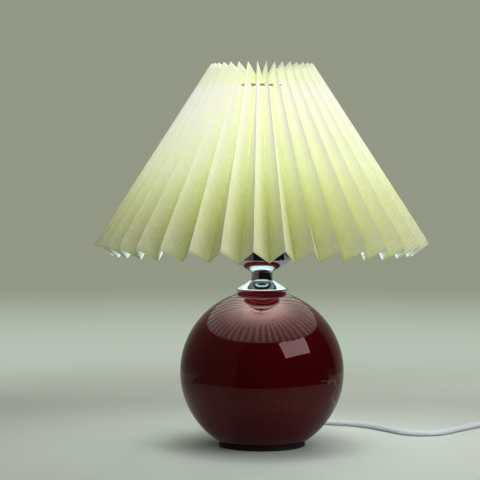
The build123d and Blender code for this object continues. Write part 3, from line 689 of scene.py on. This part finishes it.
LYING = CORD_DIAMETER / 2 + 0.1
SWITCH_Y = 127
SWITCH_Z = 7.5
LEAD_ROUTE = [
    (0, 80.9, 15.1), (0, 97.7, 4.4), (12, 117.5, LYING), (40, 128, LYING), (93.5, 114, LYING),
    (117.5, 81.5, LYING), (137, 50, LYING), (166, 50, LYING), (192, 84.5, LYING), (214, 110, LYING),
    (240, SWITCH_Y, SWITCH_Z), (264, SWITCH_Y, SWITCH_Z)]
COIL_PITCH = CORD_DIAMETER + 0.5
COIL_INNER = 21.6
COIL_LAYER_TURNS = 3
COIL_OUTER = COIL_INNER + COIL_LAYER_TURNS * COIL_PITCH
COIL_LOW = 3.7
COIL_HIGH = COIL_LOW + COIL_PITCH + 0.05
COIL_X = 376.8
COIL_Y = 67.0
PLUG_Y = 9.8
PLUG_Z = 6.9


def coil_route():
    """Points of the put-away coil: half turns step inwards, one climbs, half turns step outwards."""
    half_turns = 2 * COIL_LAYER_TURNS
    per_half = 9
    swell = 1 / math.cos(math.pi / (2 * per_half))
    here = COIL_X
    points = []
    for step in range(2 * half_turns):
        turns_in = step if step <= half_turns else 2 * half_turns - step
        radius = COIL_OUTER - turns_in * COIL_PITCH / 2
        side = -1 if step % 2 == 0 else 1
        middle = here + side * radius
        for mark in range(per_half):
            share = (mark + 0.5) / per_half
            angle = math.pi * share
            height = COIL_LOW if step < half_turns else COIL_HIGH
            if step == half_turns:
                height = COIL_LOW + (COIL_HIGH - COIL_LOW) * (1 - math.cos(angle)) / 2
            points.append((middle - side * radius * swell * math.cos(angle),
                           COIL_Y + side * radius * swell * math.sin(angle), height))
        here += side * 2 * radius
    return points


TAIL_START = [
    (324, SWITCH_Y, SWITCH_Z), (344, SWITCH_Y, SWITCH_Z), (364.8, 115, 5.0), (COIL_X, 94.2, COIL_LOW),
    (COIL_X, COIL_Y + CORD_DIAMETER, COIL_LOW)]
TAIL_END = [
    (COIL_X, COIL_Y - CORD_DIAMETER, COIL_HIGH), (COIL_X, 45.8, COIL_HIGH), (COIL_X, 25.8, PLUG_Z),
    (COIL_X, PLUG_Y, PLUG_Z)]
TAIL_ROUTE = TAIL_START + coil_route() + TAIL_END


def in_metres(points):
    """Millimetre points as metres."""
    return [tuple(value * MM for value in point) for point in points]


def cord_curve(name, points):
    """Smooth round cord with the route's points as its control points."""
    line = bpy.data.curves.new(name, "CURVE")
    line.dimensions = "3D"
    line.bevel_depth = CORD_DIAMETER / 2 * MM
    line.bevel_resolution = 6
    line.resolution_u = 10
    line.use_fill_caps = True
    spline = line.splines.new("NURBS")
    spline.points.add(len(points) - 1)
    for knot, place in zip(spline.points, in_metres(points)):
        knot.co = (*place, 1)
    spline.order_u = 3
    spline.use_endpoint_u = True
    line.materials.append(CORD)
    made = bpy.data.objects.new(name, line)
    bpy.context.collection.objects.link(made)
    return made


lead = cord_curve("mains_lead", LEAD_ROUTE)
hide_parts("cord_lead")
tail = cord_curve("mains_tail", TAIL_ROUTE)
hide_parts("cord_link", "cord_coil", "plug_tail")
for piece in (lead, tail):
    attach(piece, "stand")


# Floor, backdrop and surroundings, in metres

BACKDROP = (0.29, 0.315, 0.235)
# Paler backdrop near the floor: a painted pool of the lamp's light
BACKDROP_PAINTED_LIGHT_POOL = (0.46, 0.53, 0.45)
BACKDROP_RISE = (0.85, 2.1)
FLOOR_RADIUS = 8.0
FLOOR_NEAR = (0.54, 0.57, 0.54)
# Paler floor behind the lamp: painted light that makes up for the lamps' falloff there
FLOOR_FAR_PAINTED_LIGHT = (0.64, 0.70, 0.62)
FLOOR_TONE_CHANGE = (0.25, 0.42)
FLOOR_FADE = (0.4, 0.75)
EDGE_FRONT = 0.26
EDGE_SIDE = 0.33
EDGE_BACK = 0.10
MIRROR_DIMMING = 0.58
MIRROR_FAR_DIMMING = 0.9
FRONT_DARK = (0.006, 0.006, 0.006)


def glowing(tree, colour):
    """Emission of a colour socket."""
    made = add_node(tree, "Emission")
    tree.links.new(colour, made.inputs["Color"])
    return made.outputs["Emission"]


def surround_colour(tree, split):
    """Colour of the surroundings by bearing: dark in front, brown at the left, the backdrop behind."""
    front = math_node(tree, "MULTIPLY", split.outputs["Y"], -1.0)
    bearing = math_node(tree, "ARCTAN2", split.outputs["X"], front)
    return ramp(tree, between(tree, bearing, -math.pi, math.pi), [
        (0.0, BACKDROP), (0.06, (0.23, 0.23, 0.18)), (0.13, (0.13, 0.11, 0.09)),
        (0.25, (0.10, 0.075, 0.065)), (0.395, (0.10, 0.06, 0.055)), (0.405, FRONT_DARK),
        (0.835, FRONT_DARK), (0.85, (0.13, 0.11, 0.095)), (0.94, (0.23, 0.23, 0.18)), (1.0, BACKDROP)])


def past_front_edge(tree, place, split):
    """1 in front of the curved edge that mirrors show, and 0 inside and behind it."""
    fit = stretched(tree, place, (1 / EDGE_SIDE, 1 / EDGE_FRONT, 0))
    past_rim = math_node(tree, "GREATER_THAN", length_of(tree, fit), 1.0)
    in_front = math_node(tree, "LESS_THAN", split.outputs["Y"], EDGE_BACK)
    return math_node(tree, "MULTIPLY", past_rim, in_front)


def floor_material():
    """Pale floor, paler behind the lamp with painted light, that fades into a backdrop with a painted pool of
    light at its foot; in mirrors it is dimmed and has a front edge.
    """
    look, tree, shader = new_material("floor_pale")
    shader.inputs["Roughness"].default_value = 0.5
    place, split = split_place(tree)
    behind = between(tree, split.outputs["Y"], *FLOOR_TONE_CHANGE, "SMOOTHSTEP")
    tree.links.new(ramp(tree, behind, [(0.0, FLOOR_NEAR), (1.0, FLOOR_FAR_PAINTED_LIGHT)]), shader.inputs["Base Color"])
    radius = length_of(tree, place)
    away = between(tree, radius, *FLOOR_FADE, "SMOOTHSTEP")
    rising = between(tree, radius, *BACKDROP_RISE, "SMOOTHSTEP")
    backdrop = ramp(tree, rising, [(0.0, BACKDROP_PAINTED_LIGHT_POOL), (1.0, BACKDROP)])
    faded = mixed_shader(tree, away, shader.outputs["BSDF"], glowing(tree, backdrop))
    far_off = math_node(tree, "MULTIPLY", away, MIRROR_FAR_DIMMING)
    dark = math_node(tree, "MAXIMUM", past_front_edge(tree, place, split), far_off)
    dimmed = math_node(tree, "MAXIMUM", dark, MIRROR_DIMMING)
    path = add_node(tree, "LightPath")
    mirrored = math_node(tree, "MULTIPLY", path.outputs["Is Glossy Ray"], dimmed)
    whole = mixed_shader(tree, mirrored, faded, glowing(tree, surround_colour(tree, split)))
    tree.links.new(whole, tree.nodes["Material Output"].inputs["Surface"])
    return look


def make_floor():
    """Wide round floor under the lamp."""
    bpy.ops.mesh.primitive_circle_add(vertices=128, radius=FLOOR_RADIUS, fill_type="NGON", location=(0, 0, 0))
    made = bpy.context.object
    made.name = "floor"
    made.data.materials.append(floor_material())


def make_world():
    """Soft surroundings, darker in front of the lamp; the camera sees a plain backdrop."""
    world = bpy.data.worlds.new("studio")
    bpy.context.scene.world = world
    world.use_nodes = True
    tree = world.node_tree
    light = tree.nodes["Background"]
    split = split_place(tree, "Generated")[1]
    tree.links.new(surround_colour(tree, split), light.inputs["Color"])
    plain = add_node(tree, "Background")
    plain.inputs["Color"].default_value = (*BACKDROP, 1)
    path = add_node(tree, "LightPath")
    mix = mixed_shader(tree, path.outputs["Is Camera Ray"], light.outputs["Background"],
                       plain.outputs["Background"])
    tree.links.new(mix, tree.nodes["World Output"].inputs["Surface"])


# Lights and camera, in metres

GLOW_MARGIN = 0.003
IMAGE_PIXELS = 480
FOCAL_PIXELS = 1776
CAMERA_PLACE = (-0.0198, -1.600, 0.256)
HORIZON_PIXELS = 78
CAMERA_PITCH = math.atan(HORIZON_PIXELS / FOCAL_PIXELS)


def soft_box(name, place, aim, size, power, colour, mirrored=False):
    """Area light that faces a point, and that mirrors show or don't."""
    lamp = bpy.data.lights.new(name, "AREA")
    lamp.shape = "RECTANGLE"
    lamp.size, lamp.size_y = size
    lamp.energy = power
    lamp.color = colour
    made = bpy.data.objects.new(name, lamp)
    made.location = place
    made.rotation_euler = (Vector(aim) - Vector(place)).to_track_quat("-Z", "Y").to_euler()
    made.visible_glossy = mirrored
    bpy.context.collection.objects.link(made)


def bulb_glow(power):
    """Light of the lit bulb inside the shade, from a ball a little wider than the globe."""
    low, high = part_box("bulb_globe")
    radius = (high[0] - low[0]) / 2
    lamp = bpy.data.lights.new("bulb_glow", "POINT")
    lamp.energy = power
    lamp.color = (1.0, 0.98, 0.93)
    lamp.shadow_soft_size = radius + GLOW_MARGIN
    made = bpy.data.objects.new("bulb_glow", lamp)
    made.location = (0, 0, high[2] - radius)
    made.visible_camera = False
    made.visible_glossy = False
    bpy.context.collection.objects.link(made)


def make_camera():
    """Camera at the photograph's place: level with the shade, a little to the left of the axis."""
    lens = bpy.data.cameras.new("camera")
    lens.sensor_width = 36.0
    lens.lens = lens.sensor_width * FOCAL_PIXELS / IMAGE_PIXELS
    lens.clip_start = 0.05
    made = bpy.data.objects.new("camera", lens)
    made.location = CAMERA_PLACE
    made.rotation_euler = (math.radians(90) - CAMERA_PITCH, 0, 0)
    bpy.context.collection.objects.link(made)
    bpy.context.scene.camera = made


make_floor()
make_world()
soft_box("key", (1.083, -0.757, 0.97), aim=(0, 0, BALL_CENTRE * MM), size=(1.14, 0.63), power=6.4,
         colour=(0.97, 0.96, 1.0), mirrored=True)
soft_box("side", (1.4, -0.6, 0.5), aim=(0, 0, 0.2), size=(1.2, 0.8), power=5.6, colour=(1.0, 0.99, 0.97))
soft_box("fill", (0.05, -2.0, 1.3), aim=(0, 0, 0.2), size=(1.6, 1.6), power=18, colour=(0.97, 1.0, 0.97))
soft_box("top", (0.55, 0.9, 1.8), aim=(0, 0, 0), size=(1.6, 1.6), power=19, colour=(0.99, 1.0, 0.98))
bulb_glow(power=3.0)
make_camera()
bpy.context.scene.view_settings.view_transform = "Standard"
